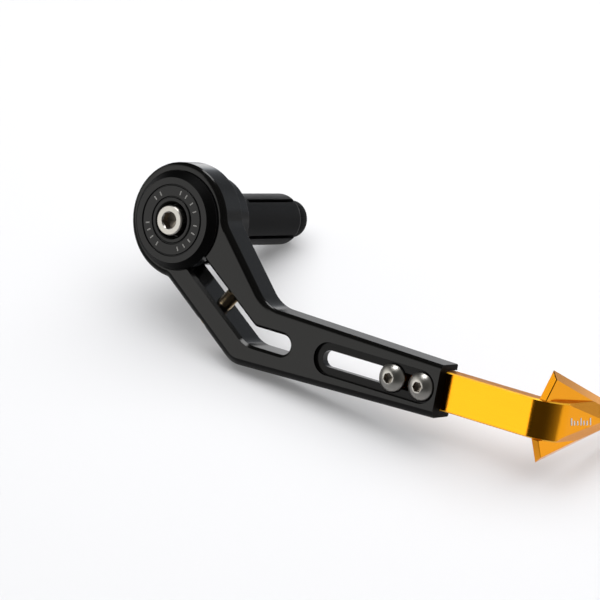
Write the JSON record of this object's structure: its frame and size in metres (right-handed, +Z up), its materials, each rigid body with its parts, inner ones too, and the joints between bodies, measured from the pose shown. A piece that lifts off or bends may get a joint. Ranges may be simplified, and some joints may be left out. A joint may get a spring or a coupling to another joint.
{
  "type": "brake lever guard",
  "caption": "Motorcycle brake lever guard: black clamp arm on a bar end plug, with a gold sliding blade bent inwards to an arrow-shaped deflector.",
  "frame": {"origin": "on the axis of the bar end plug, at the face of the hub that seats against the end of the handlebar", "axes": "+X forward along the straight leg of the arm, +Y inwards along the handlebar, +Z up"},
  "size_m": [0.1717, 0.0727, 0.0628],
  "materials": {
    "black_anodised": "satin black anodised",
    "gold_anodised": "satin gold anodised",
    "stainless_steel": "satin",
    "plated_steel": "dull bronze tone"
  },
  "bodies": {
    "root": {"bar_end_hub": "black_anodised", "expander_sleeve": "black_anodised", "cone_nut": "black_anodised", "end_cap": "black_anodised", "centre_bolt": "stainless_steel"},
    "arm": {"clamp_arm": "black_anodised", "clamp_screw": "plated_steel"},
    "blade": {"guard_blade": "gold_anodised", "blade_screws": "stainless_steel"}
  },
  "joints": [
    {"name": "arm_turn", "type": "hinge", "parent": "root", "child": "arm", "pos_m": [0, -0.0135, 0], "axis": [0, 1, 0], "continuous": true},
    {"name": "blade_slide", "type": "slide", "parent": "arm", "child": "blade", "axis": [1, 0, 0], "range_m": [-0.024, 0]}
  ]
}
